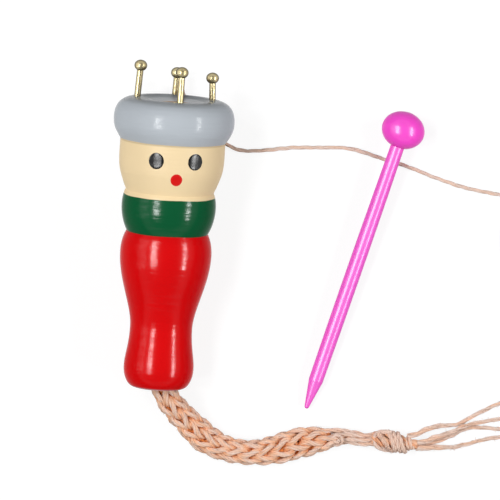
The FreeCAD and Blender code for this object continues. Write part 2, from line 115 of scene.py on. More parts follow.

# The knitting: stitches round it, rows along it, its loops and the painted shade deep in them, how uneven
# they are, and its least half width
WALES = 4
FIRST_WALE = math.radians(20)
ROW_HEIGHT = 5.6 * MM
LOOP_REACH = 4.7 * MM
LOOP_SPREAD = 0.27
LOOP_DEPTH = 0.85 * MM
LOOP_DEPTH_SHADE = 0.68
STITCH_STEPS = 30
UNEVEN_REACH = 0.10
UNEVEN_TURN = 0.05
UNEVEN_DEPTH = 0.25 * MM
KNIT_YARN_RADIUS = 0.95 * MM
KNIT_FULL_HALF_WIDTH = 4.2 * MM
KNIT_LEAST_SQUEEZE = 0.35
KNIT_LEAST_RADIUS = 0.3 * MM
KNIT_END_GAP = 1.5 * MM

# The strands inside the knitting
FILLING_STRANDS = 7
FILLING_SINK = 2.9 * MM
FILLING_LEAST_RADIUS = 0.4 * MM
FILLING_TWIST = 9 * MM
FILLING_STEP = 0.5 * MM

# Stray fibres: their points, half thickness and length, how far they stand off the yarn's middle line, how
# far they spread from straight out, the share of their length behind where they leave the yarn, how far off
# it they start, how near they come to the table, and how many there are on each piece
STRAY_POINTS = 7
STRAY_RADIUS = 0.055 * MM
STRAY_LENGTH = (1.0 * MM, 2.4 * MM)
STRAY_RISE = (1.0 * MM, 1.45 * MM)
STRAY_SPREAD = 0.45
STRAY_BEHIND = 0.3
STRAY_START = 0.12
STRAY_LOWEST = 0.1 * MM
RISE_OFF_TABLE = np.array((0.0, 0.0, 1.0 * MM))
KNIT_FIBRES = 320
NECK_FIBRES = 30
KNOT_FIBRES = 20
TAIL_FIBRES = 30

# The cord in the bore and free of it, and its width and twist at places from the bore's mouth in millimetres
BORE_KNIT_RADIUS = 4.55 * MM
BORE_STEPS = 300
CORD_HEIGHT = 9.3 * MM
CORD_WIDTHS_MM = {
    0: 8.6,
    8: 8.9,
    20: 9.8,
    30: 11.0,
    42: 9.6,
    50: 9.3,
    60: 11.4,
    68: 11.4,
    74: 9.0,
    80: 5.6,
}
CORD_TWIST_DEGREES = {0: 0, 25: 12, 45: 55, 62: 78, 80: 110}

# The top of the cord in the bore in millimetres, across the doll, out of it and along it
BORE_TOP = (1.0, -0.8, 88.5)

# How closely lines are drawn, how often the plies of a yarn change in evenness, a direction that no line
# runs along, and the way up
LINE_STEP = 0.25 * MM
PLY_UNEVEN_STEP = 3 * MM
ASKEW = (0.13, 0.21, 0.97)
UP = (0, 0, 1)

# Routes in millimetres from the middle of the doll's base, as it stands over the table
ROUTE_ZERO_MM = (-32.541, -53.397, 0)
BORE_END = (1.0, 8.04, 11.31)
CORD_ROUTE = [
    BORE_END,
    (1.0, -1.51, 10.35),
    (9.8, -10.4, 6.9),
    (17.7, -17.6, 4.9),
    (27.5, -21.0, 4.75),
    (38.4, -20.6, 4.75),
    (47.6, -17.1, 4.75),
    (56.3, -14.7, 4.75),
    (62.6, -13.6, 4.2),
]
NECK_ROUTE = [
    (57.2, -14.4, 4.6),
    (59.6, -13.9, 4.4),
    (62.6, -13.4, 3.9),
    (67.2, -13.3, 3.1),
    (71.6, -14.1, 3.3),
    (75.8, -13.4, 4.2),
    (78.5, -13.6, 4.3),
]

# The gathered end: its strands, how far they lie out at each share of its length, their twist and flatness
NECK_STRANDS = 6
NECK_SPREAD_MM = {0: 3.0, 0.2: 2.3, 0.45: 1.75, 0.8: 1.6, 1: 1.9}
NECK_TWIST = 1.5
NECK_FIRST_ANGLE = 0.4
NECK_FLATNESS = 0.8

# The small loop of slack yarn on it, in millimetres: its middle, its radius from the outside in, how much
# longer than wide it is, its angles, and its height at each angle over its middle
CURL_MIDDLE = (62.5, -14.25, 6.9)
CURL_RADII = (2.1, 0.6)
CURL_STRETCH = 1.1
CURL_ANGLES = (-0.7 * math.pi, 2.1 * math.pi)
CURL_HEIGHTS = {CURL_ANGLES[0]: -2.2, 0: 0.0, CURL_ANGLES[1]: 0.4}
CURL_STEPS = 70

# The knot in millimetres: places along it, across it and above its middle. Its strands swell at each share
# of its length. Two windings lean back on their far side, and two strands lie over it, round and slantwise.
KNOT_START = (75.8, -13.35, 4.35)
KNOT_HEADING = math.radians(-4.6)
KNOT_STRANDS = 7
KNOT_CORE = (-1.0, 3, 6, 9, 12, 14.6)
KNOT_SWELL_MM = {0: 1.3, 0.12: 2.3, 0.26: 2.55, 0.42: 2.0, 0.66: 1.7, 0.78: 1.0, 1: 0.9}
KNOT_TWIST = -3.4
KNOT_WRAPS = {
    "first": 4.6,
    "last": 9.4,
    "radius": 3.0,
    "turns": 3.1,
    "start": 2.6,
    "slant": 1.3,
    "drop": 0.0,
}
KNOT_LUMP = {
    "first": 10.4,
    "last": 12.6,
    "radius": 1.75,
    "turns": 1.3,
    "start": 0.6,
    "slant": 0.7,
    "drop": -0.4,
}
KNOT_STEPS_PER_TURN = 40
KNOT_RIM = [
    (5.2, 2.9, 1.4),
    (2.6, 3.1, 1.6),
    (-0.1, 2.0, 1.4),
    (-0.6, -0.4, 1.4),
    (0.8, -2.7, 1.2),
    (4.2, -3.3, 0.6),
    (7.4, -3.0, -0.6),
]
KNOT_OVER = [
    (0.6, 1.9, 2.0),
    (2.2, 0.9, 3.0),
    (3.6, -0.8, 3.0),
    (4.9, -2.3, 2.0),
    (6.6, -3.2, 0.2),
]

# The yarn ends and the working yarn, with routes in millimetres as above
TAIL_ROUTES = {
    "tail_1": [
        (86.67, -11.62, 4.65),
        (89.0, -11.6, 4.3),
        (93.6, -8.7, 2.9),
        (98.2, -7.4, 1.3),
        (103.8, -7.2, 0.75),
        (108.9, -3.5, 0.75),
        (115.6, 0.5, 0.75),
        (123.0, 3.6, 0.75),
        (130.0, 5.7, 0.75),
    ],
    "tail_2": [
        (90.12, -13.70, 5.10),
        (92.8, -13.5, 4.7),
        (96.8, -11.3, 3.3),
        (101.4, -9.8, 2.4),
        (106.2, -7.0, 2.4),
        (112.0, -5.4, 1.3),
        (118.0, -3.8, 0.75),
        (124.4, -2.7, 0.75),
        (130.6, -0.9, 0.75),
    ],
    "tail_3": [
        (90.06, -14.40, 3.25),
        (92.8, -14.5, 2.7),
        (97.2, -12.6, 1.5),
        (101.8, -11.0, 0.75),
        (106.8, -7.7, 0.75),
        (112.6, -7.2, 0.75),
        (118.6, -7.6, 0.75),
        (124.8, -7.0, 0.75),
        (131.0, -5.4, 0.75),
    ],
    "tail_4": [
        (89.97, -15.54, 4.65),
        (92.8, -15.6, 4.2),
        (97.4, -14.8, 2.5),
        (102.4, -15.0, 0.9),
        (107.8, -13.2, 0.75),
        (114.6, -10.9, 0.75),
        (122.4, -9.4, 0.75),
        (129.6, -9.6, 0.75),
    ],
}
TAIL_HALF_THICKNESS_MM = {0: 0.58, 0.15: 0.55, 0.40: 0.42, 1: 0.38}
TAIL_OFFSET_SHARE = 0.86
YARN_ROUTE = [
    (1.3, 88.48, 15.91),
    (1.5, 93.55, 16.52),
    (1.8, 98.82, 16.05),
    (2.0, 100.60, 12.41),
    (2.05, 102.12, 7.24),
    (2.2, 100.07, 1.70),
    (7.0, 97.6, 0.75),
    (11.4, 91.6, 0.75),
    (15.6, 85.6, 0.75),
    (22.6, 82.1, 0.75),
    (30.6, 82.8, 0.75),
    (40.0, 84.6, 0.75),
    (50.5, 85.2, 0.75),
    (60.6, 85.9, 0.75),
    (70.6, 83.1, 0.75),
    (81.0, 80.7, 0.75),
    (91.0, 77.2, 0.75),
    (100.6, 74.6, 0.75),
    (112.0, 73.1, 0.75),
    (122.4, 72.2, 0.75),
]
SUPPLY_STEP = 0.35 * MM

# The put-away coil, in millimetres. It climbs to its next layer over a quarter turn before and after.
COIL_CENTRE = (134.0, 58.25)
COIL_MIDDLE_RADIUS = 8.4
COIL_LAYERS = 4
COIL_LOOPS = 6
COIL_PITCH = 1.86
COIL_FLOOR = 0.75
COIL_CLIMB_TURNS = 0.25
COIL_STEPS_PER_TURN = 24

# Colours, as a painter names them, in sRGB
# A paler grey, painted in the dish as a pool of light
HAT_PAINTED_LIGHT = (0.86, 0.87, 0.89)
HAT_GREY = (0.715, 0.740, 0.765)
FACE_CREAM = (0.940, 0.845, 0.675)
SCARF_GREEN = (0.030, 0.335, 0.190)
DRESS_RED = (0.850, 0.020, 0.035)
WOOD_PALE = (0.800, 0.660, 0.470)
WOOD_DARK = (0.640, 0.470, 0.290)
BRASS = (0.91, 0.85, 0.67)
BRASS_DULL = (0.76, 0.69, 0.50)
# A dark olive, painted at the nails' outline as dark reflections
BRASS_PAINTED_DARK_RIM = (0.34, 0.30, 0.18)
ROD_PINK = (1.000, 0.430, 0.885)
ROD_DEEP = (0.965, 0.350, 0.800)
KNOB_PINK = (1.000, 0.330, 0.860)
KNOB_DEEP = (0.990, 0.290, 0.800)
COTTON_PALE = (0.945, 0.865, 0.820)
COTTON_PEACH = (0.850, 0.715, 0.640)
# Warmer and deep ochre cotton, painted where strands lie in shade inside the knitting, the neck and the knot
COTTON_HALF_SHADE = (0.935, 0.730, 0.590)
COTTON_FULL_SHADE = (0.850, 0.500, 0.260)
EYE_BLACK = (0.030, 0.030, 0.035)
DOT_RED = (0.890, 0.050, 0.040)
# A dark brown, painted in the creases and on the crest as shade
PAINTED_SHADE_BROWN = (0.16, 0.13, 0.11)

# White as the renderer takes it
WHITE = (1, 1, 1, 1)

# How rough the finishes are: gloss paint and what satin paint on the face, smears and bare wood add to it,
# and brass and what its bloom adds
PAINT_ROUGH = 0.145
SATIN_ROUGHER = 0.21
SMEAR_ROUGHER = 0.05
BARE_ROUGHER = 0.5
BRASS_ROUGH = 0.31
BLOOM_ROUGHER = 0.06

# How much they shine: paint where it faces the viewer and at its outline, less on the face and the hat,
# plastic at its outline, and how far a surface has turned away where its outline starts and ends
PAINT_SHINE = (0.42, 0.03)
SATIN_DULLER = 0.24
HAT_DULLER = 0.20
LEAST_SHINE = 0.02
PLASTIC_EDGE_SHINE = 0.06
OUTLINE_STARTS = 0.08
OUTLINE_ENDS = 0.24

# How strongly painted shade darkens the creases and the crest, and how strongly painted light brightens the
# dish
CREASE_PAINTED_SHADE = 0.25
CREST_PAINTED_SHADE = 0.30
DISH_PAINTED_LIGHT = 0.6


def linear(colour):
    """A colour in sRGB as the renderer's linear RGBA."""
    return tuple(((c + 0.055) / 1.055) ** 2.4 if c > 0.04045 else c / 12.92 for c in colour) + (1.0,)


def placed(points):
    """Points in millimetres from the middle of the doll's base, as points of the frame in metres."""
    return [tuple((p + z) * MM for p, z in zip(point, ROUTE_ZERO_MM)) for point in points]


def on_doll(right, front, along):
    """A point given across, out of and along the doll, in metres, as a point of the frame."""
    return Vector(BASE_MIDDLE_MM) * MM + RIGHT * right + FRONT * front + ALONG * along


def read_table(places, table):
    """The values of a table at the given places, on straight lines between its entries."""
    return np.interp(places, list(table), list(table.values()))


def laid_yarn(offset, pitch, radius, painted_shades, sides=6, loose=0.3):
    """How a yarn is laid. In millimetres, how far its plies lie from its middle line, the pitch of their
    twist and their half thickness. Then how much painted shade each ply gets, its sides, and how uneven it
    is."""
    return {
        "offset": offset * MM,
        "pitch": pitch * MM,
        "radius": radius * MM,
        "painted_shades": painted_shades,
        "sides": sides,
        "loose": loose,
    }


# How each yarn is laid; the tuples give the painted shade of each ply, most for the strands inside the
# knitting and the knot
KNIT_YARN = laid_yarn(0.50, 11, 0.46, (0.10, 0.32, 0.14, 0.24), sides=7)
FILLING_YARN = laid_yarn(0.40, 7, 0.70, (1.0, 1.0), loose=0.2)
NECK_YARN = laid_yarn(0.42, 12, 0.46, (0.02, 0.15, 0.28))
NECK_CORE_YARN = laid_yarn(0.5, 9, 0.62, (0.6, 0.6, 0.6), loose=0.0)
CURL_YARN = laid_yarn(0.30, 7, 0.34, (0.0, 0.1, 0.2), loose=0.0)
KNOT_YARN = laid_yarn(0.42, 8, 0.43, (0.0, 0.0, 0.0, 0.0), sides=7)
KNOT_INNER_YARN = laid_yarn(0.42, 8, 0.43, (0.0, 0.0, 0.0), sides=7)
WORKING_YARN = laid_yarn(0.30, 13, 0.38, (0.0, 0.1, 0.2))


# The camera


def add_camera():
    """Two metres above the table, tipped towards the doll's head and turned as the photograph is."""
    back = Vector((0, math.sin(CAMERA_TIP), math.cos(CAMERA_TIP)))
    up = Vector((-math.sin(CAMERA_TURN), math.cos(CAMERA_TURN), 0))
    up = (up - up.dot(back) * back).normalized()
    right = up.cross(back)
    data = bpy.data.cameras.new("camera")
    data.lens = CAMERA_LENS_MM
    data.sensor_width = CAMERA_SENSOR_MM
    data.clip_start, data.clip_end = CAMERA_CLIP
    camera = bpy.data.objects.new("camera", data)
    turn = Matrix((right, up, back)).transposed()
    camera.rotation_euler = turn.to_euler()
    camera.location = Vector(CAMERA_AIM_MM) * MM + back * CAMERA_DISTANCE
    bpy.context.scene.collection.objects.link(camera)
    bpy.context.scene.camera = camera


# Lines and tubes


def route_curve(points):
    """A smooth open curve with the route's points as its control points."""
    data = bpy.data.curves.new("line", "CURVE")
    data.dimensions = "3D"
    data.resolution_u = 12
    spline = data.splines.new("NURBS")
    spline.points.add(len(points) - 1)
    for control, at in zip(spline.points, points):
        control.co = (*at, 1.0)
    spline.order_u = 3
    spline.use_endpoint_u = True
    curve = bpy.data.objects.new("line", data)
    bpy.context.scene.collection.objects.link(curve)
    return curve


def smooth_line(points, step=LINE_STEP):
    """The points along the route's own smooth curve, evenly spaced."""
    curve = route_curve(points)
    bpy.context.view_layer.update()
    mesh = bpy.data.meshes.new_from_object(curve)
    line = np.array([v.co for v in mesh.vertices], float)
    bpy.data.meshes.remove(mesh)
    bpy.data.objects.remove(curve)
    return even(line, step)


def even(line, step):
    """The same line with evenly spaced points."""
    along = along_of(line)
    places = np.linspace(0.0, along[-1], max(3, int(round(along[-1] / step)) + 1))
    return np.stack([np.interp(places, along, line[:, k]) for k in range(3)], axis=1)


def along_of(line):
    """The distance along a line at each of its points."""
    return np.concatenate([[0.0], np.cumsum(np.linalg.norm(np.diff(line, axis=0), axis=1))])


def frames(line, up=ASKEW):
    """Two normals at each point of a line, which turn as little as they can."""
    tangents = np.gradient(line, axis=0)
    tangents /= np.linalg.norm(tangents, axis=1)[:, None]
    first = np.array(up, float) - np.dot(up, tangents[0]) * tangents[0]
    normals = [first / np.linalg.norm(first)]
    for tangent in tangents[1:]:
        normal = normals[-1] - np.dot(normals[-1], tangent) * tangent
        normals.append(normal / np.linalg.norm(normal))
    normals = np.array(normals)
    return normals, np.cross(tangents, normals)


class Tubes:
    """Round tubes that become one mesh, with their length and girth as UV and an amount of painted shade at
    each point.
    """

    def __init__(self):
        self.points = []
        self.faces = []
        self.uvs = []
        self.painted_shades = []
        self.count = 0

    def add(self, line, radius, sides, painted_shade=0.0):
        """A tube along a line. Its radius and painted shade may be one number or one for each point."""
        total = len(line)
        normals, binormals = frames(line)
        radii = np.broadcast_to(np.asarray(radius, float), (total,))
        painted_shades = np.broadcast_to(np.asarray(painted_shade, float), (total,))
        angles = np.arange(sides) * 2 * math.pi / sides
        ring = np.cos(angles)[None, :, None] * normals[:, None]
        ring = ring + np.sin(angles)[None, :, None] * binormals[:, None]
        rings = line[:, None] + ring * radii[:, None, None]
        self.points.append(rings.reshape(-1, 3))
        self.painted_shades.append(np.repeat(painted_shades, sides))
        lengths = along_of(line) / MM
        i = np.repeat(np.arange(total - 1), sides)
        j = np.tile(np.arange(sides), total - 1)
        k = (j + 1) % sides
        quads = np.stack([i * sides + j, (i + 1) * sides + j, (i + 1) * sides + k, i * sides + k], axis=1)
        self.faces += (quads + self.count).tolist()
        u = np.stack([lengths[i], lengths[i + 1], lengths[i + 1], lengths[i]], axis=1)
        v = np.stack([j, j, j + 1, j + 1], axis=1) / sides
        self.uvs.append(np.stack([u, v], axis=2).reshape(-1, 2))
        first = list(range(self.count, self.count + sides))
        last = [self.count + (total - 1) * sides + m for m in range(sides)]
        self.faces += [first, last[::-1]]
        self.uvs.append(np.full((2 * sides, 2), 0.5))
        self.count += total * sides

    def add_yarn(self, line, yarn, seed, more_painted_shade=0.0):
        """The plies of a yarn along a line, with more painted shade by one number or one for each point."""
        strands = plies(line, len(yarn["painted_shades"]), yarn["offset"], yarn["pitch"], yarn["loose"], seed)
        for strand, painted_shade in zip(strands, yarn["painted_shades"]):
            self.add(strand, yarn["radius"], yarn["sides"], painted_shade + more_painted_shade)

    def build(self, name, material):
        """The tubes as one smooth piece that rides on the doll."""
        mesh = bpy.data.meshes.new(name)
        mesh.from_pydata(np.concatenate(self.points).tolist(), [], self.faces)
        layer = mesh.uv_layers.new(name="UVMap")
        layer.data.foreach_set("uv", np.concatenate(self.uvs).astype(np.float32).ravel())
        attribute = mesh.attributes.new("painted_shade", "FLOAT", "POINT")
        attribute.data.foreach_set("value", np.concatenate(self.painted_shades).astype(np.float32))
        return doll_piece(name, mesh, material)


def doll_piece(name, mesh, material):
    """A mesh as a smooth piece that rides on the doll."""
    mesh.polygons.foreach_set("use_smooth", [True] * len(mesh.polygons))
    mesh.materials.append(material)
    mesh.update()
    piece = bpy.data.objects.new(name, mesh)
    bpy.context.scene.collection.objects.link(piece)
    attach(piece, "doll")
    return piece


def plies(line, count, offset, pitch, loose, seed):
    """The lines of a yarn's plies, twisted round its middle line, with an unevenness given by loose."""
    random = np.random.default_rng(seed)
    along = along_of(line)
    normals, binormals = frames(line)
    marks = np.arange(0.0, along[-1] + 2 * PLY_UNEVEN_STEP, PLY_UNEVEN_STEP)
    lines = []
    for k in range(count):
        spread = 1 + loose * np.interp(along, marks, random.uniform(-1, 1, len(marks)))
        angle = 2 * math.pi * (k / count + along / pitch)
        angle = angle + loose * np.interp(along, marks, random.uniform(-1, 1, len(marks)))
        across = np.cos(angle)[:, None] * normals + np.sin(angle)[:, None] * binormals
        lines.append(line + across * (offset * spread)[:, None])
    return lines


def stray_fibres(tubes, line, middle, count, seed):
    """Fine fibres that stand off a yarn, away from the middle line of what the yarn is part of."""
    random = np.random.default_rng(seed)
    share = np.linspace(0, 1, STRAY_POINTS)[:, None]
    lift = np.sin(math.pi * (STRAY_START + (1 - STRAY_START) * share))
    for at in random.integers(1, len(line) - 1, count):
        nearest = middle[np.argmin(np.linalg.norm(middle - line[at], axis=1))]
        out = line[at] - nearest
        out = out / max(np.linalg.norm(out), 0.01 * MM) + random.normal(0, STRAY_SPREAD, 3)
        side = np.cross(out, random.normal(size=3))
        side = side / np.linalg.norm(side) * random.uniform(*STRAY_LENGTH)
        rise = out / np.linalg.norm(out) * random.uniform(*STRAY_RISE)
        fibre = line[at] + side * (share - STRAY_BEHIND) + rise * lift
        fibre[:, 2] = np.maximum(fibre[:, 2], STRAY_LOWEST)
        tubes.add(fibre, STRAY_RADIUS, sides=3)


# The knitting


def cord_line():
    """The middle line of the whole knitted cord, from the head end of the bore to its gathered end."""
    top = on_doll(*(part * MM for part in BORE_TOP))
    split = Vector(placed([BORE_END])[0])
    steps = np.linspace(0.0, 1.0, BORE_STEPS)[:-1, None]
    inside = np.array(top)[None] * (1 - steps) + np.array(split)[None] * steps
    free = smooth_line(placed(CORD_ROUTE))
    return even(np.concatenate([inside, free]), LINE_STEP), (top - split).length


def cord_size(s, bore_length):
    """How far past the bore's mouth a place is, in millimetres, and the cord's half width and height."""
    free = (s - bore_length) / MM
    half_width = np.where(free < 0, BORE_KNIT_RADIUS, read_table(free, CORD_WIDTHS_MM) * MM / 2)
    return free, half_width, np.minimum(half_width, CORD_HEIGHT / 2)


def around(axis, s, wide, high, turn):
    """The places at a distance along the cord, and at a width, height and angle round it."""
    along = along_of(axis)
    normals, binormals = frames(axis, UP)

    def spread(values):
        return np.stack([np.interp(s, along, values[:, k]) for k in range(3)], axis=1)

    line = spread(axis) + spread(binormals) * (wide * np.cos(turn))[:, None]
    return line + spread(normals) * (high * np.sin(turn))[:, None]


def stitches(axis, first_row, last_row, bore_length, seed):
    """The middle line of the yarn through the given rows of knitting, and how deep each point lies in it,
    which sets its painted shade.
    """
    random = np.random.default_rng(seed)
    count = (last_row - first_row) * WALES
    t = np.linspace(0.0, 2 * math.pi * count, count * STITCH_STEPS + 1)
    stitch = t / (2 * math.pi)
    knots = np.arange(0, count + 1.01, 0.5)

    def uneven(amount):
        return amount * np.interp(stitch, knots, random.uniform(-1, 1, len(knots)))

    place = (first_row + stitch / WALES) * ROW_HEIGHT
    reach = LOOP_REACH * (1 + uneven(UNEVEN_REACH)) * np.cos(t)
    s = np.clip(place + reach, 0.0, along_of(axis)[-1])
    free, half_width, half_height = cord_size(s, bore_length)
    turn = stitch + LOOP_SPREAD * np.sin(2 * t) + uneven(UNEVEN_TURN)
    turn = FIRST_WALE + 2 * math.pi / WALES * turn + cord_twist(free)
    sink = LOOP_DEPTH * (1 + np.cos(2 * t)) + KNIT_YARN_RADIUS + np.abs(uneven(UNEVEN_DEPTH))
    squeeze = np.clip(half_width / KNIT_FULL_HALF_WIDTH, KNIT_LEAST_SQUEEZE, 1.0)
    wide = np.maximum(half_width - sink * squeeze, KNIT_LEAST_RADIUS)
    high = np.maximum(half_height - sink * squeeze, KNIT_LEAST_RADIUS)
    painted_shade = np.clip((sink - KNIT_YARN_RADIUS) / (2 * LOOP_DEPTH), 0, 1)
    return around(axis, s, wide, high, turn), painted_shade


def filling(axis, first_row, last_row, bore_length, number):
    """The line of one of the strands that lie inside the knitting and show between its stitches."""
    last = min(last_row * ROW_HEIGHT, along_of(axis)[-1])
    s = np.arange(first_row * ROW_HEIGHT, last, FILLING_STEP)
    free, half_width, half_height = cord_size(s, bore_length)
    turn = 2 * math.pi * number / FILLING_STRANDS + s / FILLING_TWIST + cord_twist(free)
    wide = np.maximum(half_width - FILLING_SINK, FILLING_LEAST_RADIUS)
    high = np.maximum(half_height - FILLING_SINK, FILLING_LEAST_RADIUS)
    return around(axis, s, wide, high, turn)


def cord_twist(free):
    """How far the cord has twisted at a distance past the bore's mouth, in millimetres."""
    return np.radians(read_table(free, CORD_TWIST_DEGREES))


def knit_piece(name, axis, first_row, last_row, bore_length, material, seed, fibres):
    """Rows of plain knitting round the cord, in a yarn of four loosely laid strands."""
    line, painted_shade = stitches(axis, first_row, last_row, bore_length, seed)
    tubes = Tubes()
    # Loops that lie deeper in the knitting get painted shade, and the strands inside it get the most.
    tubes.add_yarn(line, KNIT_YARN, seed, LOOP_DEPTH_SHADE * painted_shade)
    for number in range(FILLING_STRANDS):
        tubes.add_yarn(filling(axis, first_row, last_row, bore_length, number), FILLING_YARN, seed + number)
    stray_fibres(tubes, line, axis, fibres, seed)
    return tubes.build(name, material)


# The gathered end, the knot and the yarn ends


def neck_piece(material):
    """The strands drawn out of the last row, lying together, with one small loop that stands up."""
    middle = smooth_line(placed(NECK_ROUTE))
    along = along_of(middle)
    share = along / along[-1]
    tubes = Tubes()
    spread = read_table(share, NECK_SPREAD_MM) * MM
    normals, binormals = frames(middle, UP)
    for k in range(NECK_STRANDS):
        angle = 2 * math.pi * k / NECK_STRANDS + NECK_TWIST * share + NECK_FIRST_ANGLE
        line = middle + normals * (np.sin(angle) * spread * NECK_FLATNESS)[:, None]
        line = line + binormals * (np.cos(angle) * spread)[:, None]
        tubes.add_yarn(line, NECK_YARN, seed=40 + k)
    tubes.add_yarn(middle, NECK_CORE_YARN, seed=48)
    tubes.add_yarn(curl_line(), CURL_YARN, seed=50)
    stray_fibres(tubes, middle, middle - RISE_OFF_TABLE, NECK_FIBRES, seed=52)
    return tubes.build("gathered_neck", material)


def curl_line():
    """A small loop of slack yarn on top of the gathered end."""
    centre = Vector(placed([CURL_MIDDLE])[0])
    turns = np.linspace(*CURL_ANGLES, CURL_STEPS)
    radius = np.linspace(*CURL_RADII, CURL_STEPS) * MM
    x = centre.x + radius * np.cos(turns) * CURL_STRETCH
    y = centre.y + radius * np.sin(turns)
    z = centre.z + read_table(turns, CURL_HEIGHTS) * MM
    return np.stack([x, y, z], axis=1)


def knot_point(along, across, up):
    """A point of the knot, in millimetres along it, across it and above its middle line."""
    c, s = math.cos(KNOT_HEADING), math.sin(KNOT_HEADING)
    x, y, z = KNOT_START
    return (x + along * c - across * s, y + along * s + across * c, z + up)


def knot_piece(material):
    """Slanted wraps over the gathered strands, which bulge before them and leave in a smaller lump."""
    tubes = Tubes()

    def laid(points):
        return smooth_line(placed([knot_point(*point) for point in points]))

    # Strands further inside the knot get more painted shade.
    tubes.add_yarn(knot_helix(**KNOT_WRAPS), KNOT_YARN, seed=60, more_painted_shade=0.16)
    tubes.add_yarn(knot_helix(**KNOT_LUMP), KNOT_YARN, seed=61, more_painted_shade=0.2)
    tubes.add_yarn(laid(KNOT_RIM), KNOT_YARN, seed=62, more_painted_shade=0.05)
    tubes.add_yarn(laid(KNOT_OVER), KNOT_YARN, seed=63, more_painted_shade=0.25)
    core = laid([(along, 0, 0) for along in KNOT_CORE])
    share = np.linspace(0, 1, len(core))
    swell = read_table(share, KNOT_SWELL_MM) * MM
    normals, binormals = frames(core, UP)
    for k in range(KNOT_STRANDS):
        angle = 2 * math.pi * k / KNOT_STRANDS + KNOT_TWIST * share
        line = core + normals * (np.sin(angle) * swell)[:, None]
        line = line + binormals * (np.cos(angle) * swell)[:, None]
        tubes.add_yarn(line, KNOT_INNER_YARN, seed=70 + k, more_painted_shade=0.45 + 0.1 * (k % 3))
    tubes.add_yarn(core, KNOT_YARN, seed=69, more_painted_shade=0.9)
    stray_fibres(tubes, laid(KNOT_OVER), core, KNOT_FIBRES, seed=68)
    return tubes.build("tied_knot", material)


def knot_helix(first, last, radius, turns, start, slant, drop):
    """A helix of yarn round the knot's middle line, leaning back on its far side by its slant."""
    places = []
    for share in np.linspace(0, 1, int(turns * KNOT_STEPS_PER_TURN)):
        angle = start + 2 * math.pi * turns * share
        along = first + (last - first) * share - slant * math.cos(angle)
        places.append(knot_point(along, radius * math.cos(angle), radius * math.sin(angle) + drop))
    return np.array(placed(places))


def tail_piece(name, route, material, seed):
    """One yarn end: three loosely twisted plies, with stray fibres along it."""
    line = smooth_line(placed(route))
    tubes = Tubes()
    thick = read_table(np.linspace(0, 1, len(line)), TAIL_HALF_THICKNESS_MM)
    yarn = laid_yarn(TAIL_OFFSET_SHARE * thick, 15, thick, (0.0, 0.16, 0.32), loose=0.35)
    tubes.add_yarn(line, yarn, seed)
    stray_fibres(tubes, line, line - RISE_OFF_TABLE, TAIL_FIBRES, seed)
    piece = tubes.build(name + "_yarn", material)
    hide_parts(name)


# The whole knitted cord


def knitted_pieces(material):
    """The knitting in the bore and free of it, and the free cord's gathered end and knot, in place of the
    CAD nodes that they hide.
    """
    axis, bore_length = cord_line()
    bore_rows = int(bore_length // ROW_HEIGHT)
    all_rows = int((along_of(axis)[-1] - KNIT_END_GAP) // ROW_HEIGHT)
    inside = knit_piece("knit_in_bore", axis, 1, bore_rows, bore_length, material, seed=11, fibres=0)
    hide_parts("cord_in_bore")
    outside = knit_piece(
        "knitted_tube", axis, bore_rows, all_rows, bore_length, material, seed=12, fibres=KNIT_FIBRES
    )
    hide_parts("knitted_cord")
    neck = neck_piece(material)
    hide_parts("cord_neck")
    knot = knot_piece(material)
    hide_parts("cord_knot")


# The working yarn and its coil


def coil_points():
    """Points round the put-away coil, in millimetres: it spirals in and out again, a layer up each time."""
    outer = COIL_MIDDLE_RADIUS + COIL_LOOPS * COIL_PITCH / 2
    points = []
    for step in range(COIL_LOOPS * COIL_LAYERS * COIL_STEPS_PER_TURN + 1):
        turned = step / COIL_STEPS_PER_TURN
        layer = min(int(turned // COIL_LOOPS), COIL_LAYERS - 1)
        share = turned / COIL_LOOPS - layer
        inward = share if layer % 2 == 0 else 1 - share
        radius = outer - COIL_LOOPS * COIL_PITCH * inward
        height = COIL_FLOOR + layer * COIL_PITCH
        nearest = round(turned / COIL_LOOPS)
        climbed = (turned - nearest * COIL_LOOPS) / COIL_CLIMB_TURNS
        if 0 < nearest < COIL_LAYERS and abs(climbed) < 1:
            height = COIL_FLOOR + (nearest - 0.5 + 0.5 * math.sin(climbed * math.pi / 2)) * COIL_PITCH
        angle = turned * 2 * math.pi
        x = COIL_CENTRE[0] + radius * math.sin(angle)
        y = COIL_CENTRE[1] + radius * math.cos(angle)
        points.append((x, y, height))
    return points


def supply_piece(material):
    """The working yarn: out of the bore, over the hat, under the pick, and round its coil."""
    line = smooth_line(placed(YARN_ROUTE + coil_points()), SUPPLY_STEP)
    tubes = Tubes()
    tubes.add_yarn(line, WORKING_YARN, seed=90)
    piece = tubes.build("working_yarn", material)
    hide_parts("supply_yarn", "yarn_coil")


# Materials


